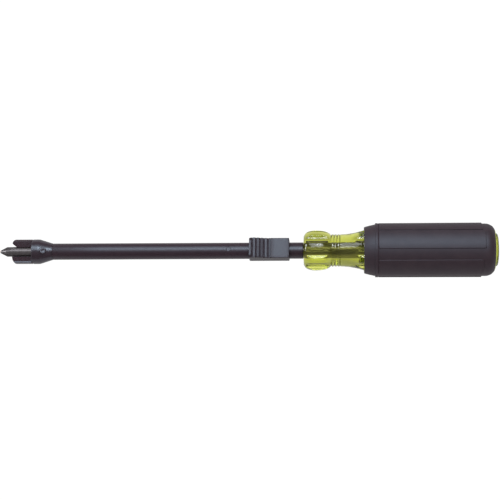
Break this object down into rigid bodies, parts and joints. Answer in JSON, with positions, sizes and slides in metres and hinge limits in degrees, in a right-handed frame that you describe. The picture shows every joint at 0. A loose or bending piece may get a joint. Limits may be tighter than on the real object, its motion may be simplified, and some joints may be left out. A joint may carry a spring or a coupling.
{
  "type": "screw-holding screwdriver",
  "caption": "Screwdriver that holds its screw: a black tube with a thumb slide and spring jaws runs on a cross-tip blade set in a clear fluted handle with a rubber grip.",
  "frame": {"origin": "centre of the end face of the driver tip, on the axis of the tool", "axes": "+X along the axis from the tip to the butt, +Z out of the flat of the thumb slide, +Y towards the bevelled jaw"},
  "size_m": [0.2912, 0.032, 0.032],
  "materials": {
    "tool_steel": "satin, ground",
    "black_steel": "black oxide, satin",
    "spring_steel": "drawn wire",
    "bush_bronze": "turned bronze",
    "clear_acetate": "clear yellow-green, polished",
    "grip_rubber": "matt moulded"
  },
  "bodies": {
    "driver": {"driver_blade": "tool_steel", "spring_collar": "tool_steel", "collar_pin": "tool_steel", "return_spring": "spring_steel", "handle_core": "clear_acetate", "cushion_grip": "grip_rubber"},
    "gripper": {"gripper_tube": "black_steel", "spring_bush": "bush_bronze", "key_pin": "black_steel", "tail_bush": "bush_bronze", "jaw_head": "black_steel", "jaw_pin_top": "black_steel", "jaw_pin_bottom": "black_steel", "jaw_spring": "spring_steel", "thumb_slide": "black_steel", "slide_pin": "black_steel"},
    "jaw_bevelled": {"bevelled_jaw": "black_steel"},
    "jaw_square": {"square_jaw": "black_steel"}
  },
  "joints": [
    {"name": "gripper_slide", "type": "slide", "parent": "driver", "child": "gripper", "axis": [-1, 0, 0], "range_m": [0, 0.012], "stiffness_N_per_m": 400, "springref_m": -0.01, "deforming": ["return_spring"]},
    {"name": "bevelled_jaw_hinge", "type": "hinge", "parent": "gripper", "child": "jaw_bevelled", "pos_m": [0.026, 0, 0], "axis": [0, 0.1219, -0.9925], "range_deg": [0, 3.5], "stiffness_Nm_per_rad": 0.1, "springref_deg": -11.46, "deforming": ["jaw_spring"]},
    {"name": "square_jaw_hinge", "type": "hinge", "parent": "gripper", "child": "jaw_square", "pos_m": [0.026, 0, 0], "axis": [0, -0.1219, 0.9925], "range_deg": [0, 3.5], "stiffness_Nm_per_rad": 0.1, "springref_deg": -11.46, "deforming": ["jaw_spring"]}
  ],
  "couplings": [
    {"joint": "square_jaw_hinge", "follows": "bevelled_jaw_hinge", "ratio": 1}
  ]
}
